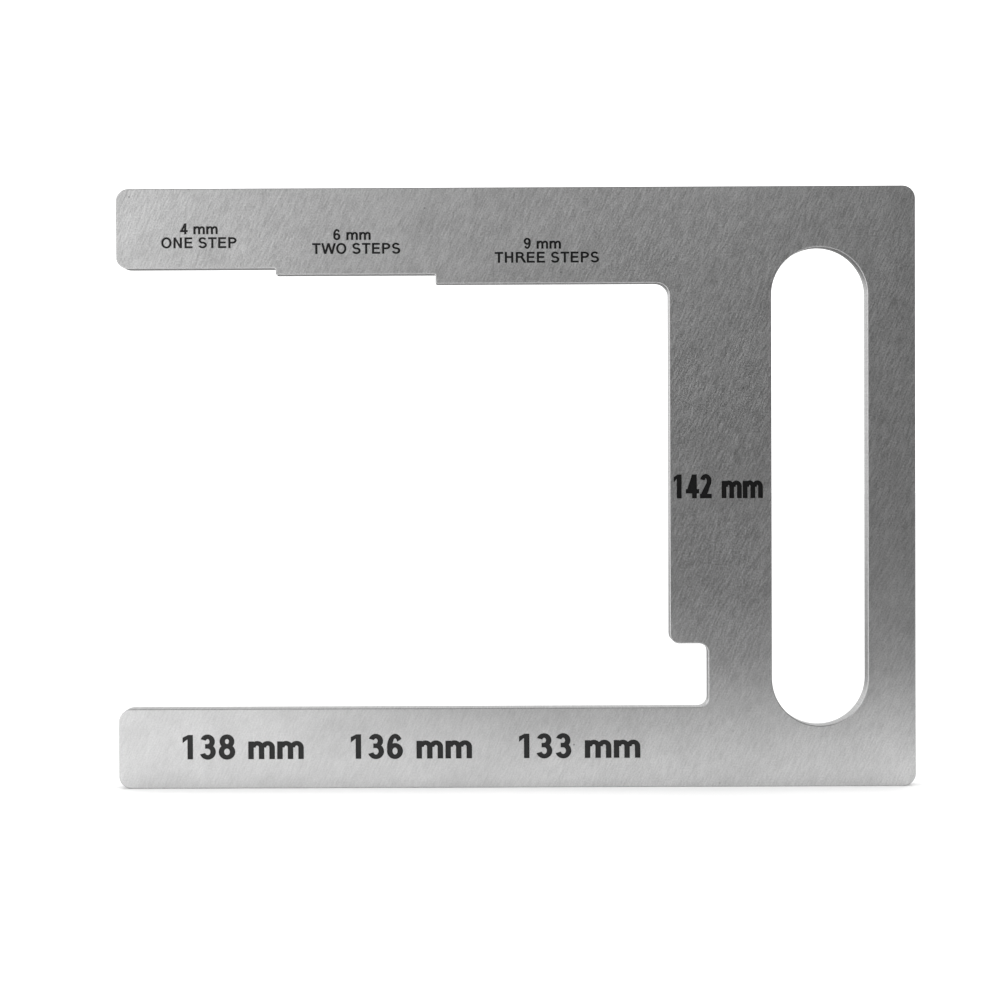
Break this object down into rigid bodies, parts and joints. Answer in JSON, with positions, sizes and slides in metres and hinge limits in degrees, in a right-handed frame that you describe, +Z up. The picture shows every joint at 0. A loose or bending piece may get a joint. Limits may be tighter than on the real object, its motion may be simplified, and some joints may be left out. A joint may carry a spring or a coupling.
{
  "type": "rail wear gauge",
  "caption": "Flat C-shaped steel plate gauge with a stepped upper arm, a notch for the rail foot and a hand slot, for reading the height worn off a rail head.",
  "frame": {"origin": "middle of the bottom edge, halfway through the plate; the centreline of a rail pushed home passes through it", "axes": "+X along the arms towards the handle, +Y through the plate away from its marked face, +Z up from the lower arm to the upper arm"},
  "size_m": [0.25, 0.008, 0.188],
  "materials": {
    "sanded_stainless": "fine diagonal sanding lines, satin, with a broken edge all round",
    "black_paint": "matt paint filling the engraved figures"
  },
  "bodies": {
    "root": {"gauge_plate": "sanded_stainless"}
  },
  "joints": []
}
